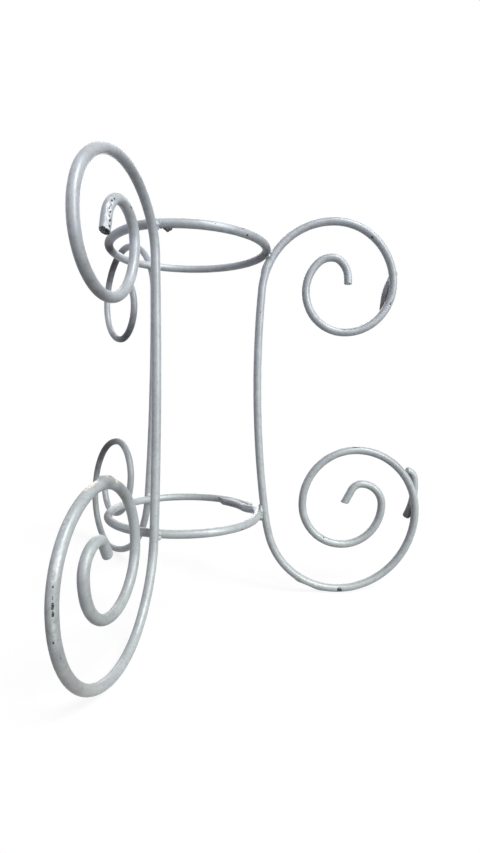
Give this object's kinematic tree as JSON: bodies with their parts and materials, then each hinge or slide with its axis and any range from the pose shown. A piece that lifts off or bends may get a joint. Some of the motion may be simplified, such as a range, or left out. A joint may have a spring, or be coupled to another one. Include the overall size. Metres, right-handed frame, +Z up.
{
  "type": "plant stand",
  "caption": "Scrolled plant stand of bent round bar: an upper and a lower pot ring joined and carried by scroll-ended legs that also stand on the floor.",
  "frame": {"origin": "on the floor, on the common axis of the two rings", "axes": "+Z is up along the rings' axis; +X points out along the plane of the right leg; the viewer of the picture looks along +Y"},
  "size_m": [0.3814, 0.4515, 0.3886],
  "materials": {
    "silver_paint": "brushed-on aluminium paint on steel bar, satin, with chips and rust specks",
    "weld_metal": "the same paint over lumpy weld beads, glossier, with rust in the corners"
  },
  "bodies": {
    "root": {"upper_ring": "silver_paint", "lower_ring": "silver_paint", "right_leg": "silver_paint", "back_left_leg": "silver_paint", "front_left_leg": "silver_paint", "right_upper_weld": "weld_metal", "right_lower_weld": "weld_metal", "back_left_upper_weld": "weld_metal", "back_left_lower_weld": "weld_metal", "front_left_upper_weld": "weld_metal", "front_left_lower_weld": "weld_metal", "upper_ring_weld": "weld_metal", "lower_ring_weld": "weld_metal", "upper_stub": "silver_paint", "lower_stub": "silver_paint", "upper_stub_weld": "weld_metal", "lower_stub_weld": "weld_metal"}
  },
  "joints": []
}
